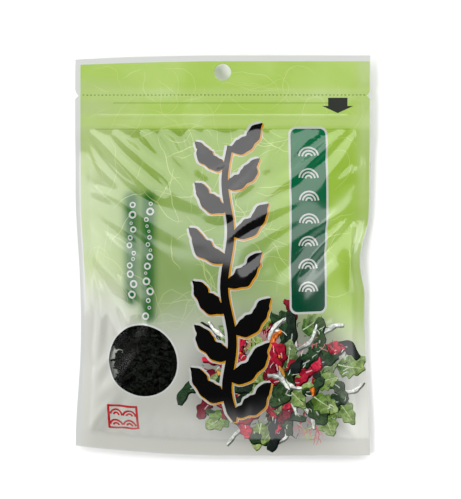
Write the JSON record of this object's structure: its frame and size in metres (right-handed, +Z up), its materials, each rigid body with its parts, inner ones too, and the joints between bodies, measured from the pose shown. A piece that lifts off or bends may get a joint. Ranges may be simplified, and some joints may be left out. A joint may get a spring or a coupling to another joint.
{
  "type": "zip pouch of dried cut wakame",
  "caption": "Flat pillow pouch of printed film with welded seals, a hang hole, tear notches and an inner zip, filled with dried cut wakame seaweed.",
  "frame": {"origin": "on the surface under the pouch, below the middle of its box", "axes": "+Z up out of the printed front, +Y from the bottom seal towards the hang hole, +X to the right as the print is read"},
  "size_m": [0.14, 0.19, 0.024],
  "materials": {
    "front_print": "glossy printed laminate film with a clear round window",
    "back_print": "glossy printed laminate film",
    "zip_plastic": "milky polyethylene",
    "dried_wakame": "dry, dull and crinkled"
  },
  "bodies": {
    "root": {"front_film": "front_print", "back_film": "back_print", "zip_rib_strip": "zip_plastic", "zip_groove_strip": "zip_plastic", "wakame_heap": "dried_wakame"}
  },
  "joints": []
}
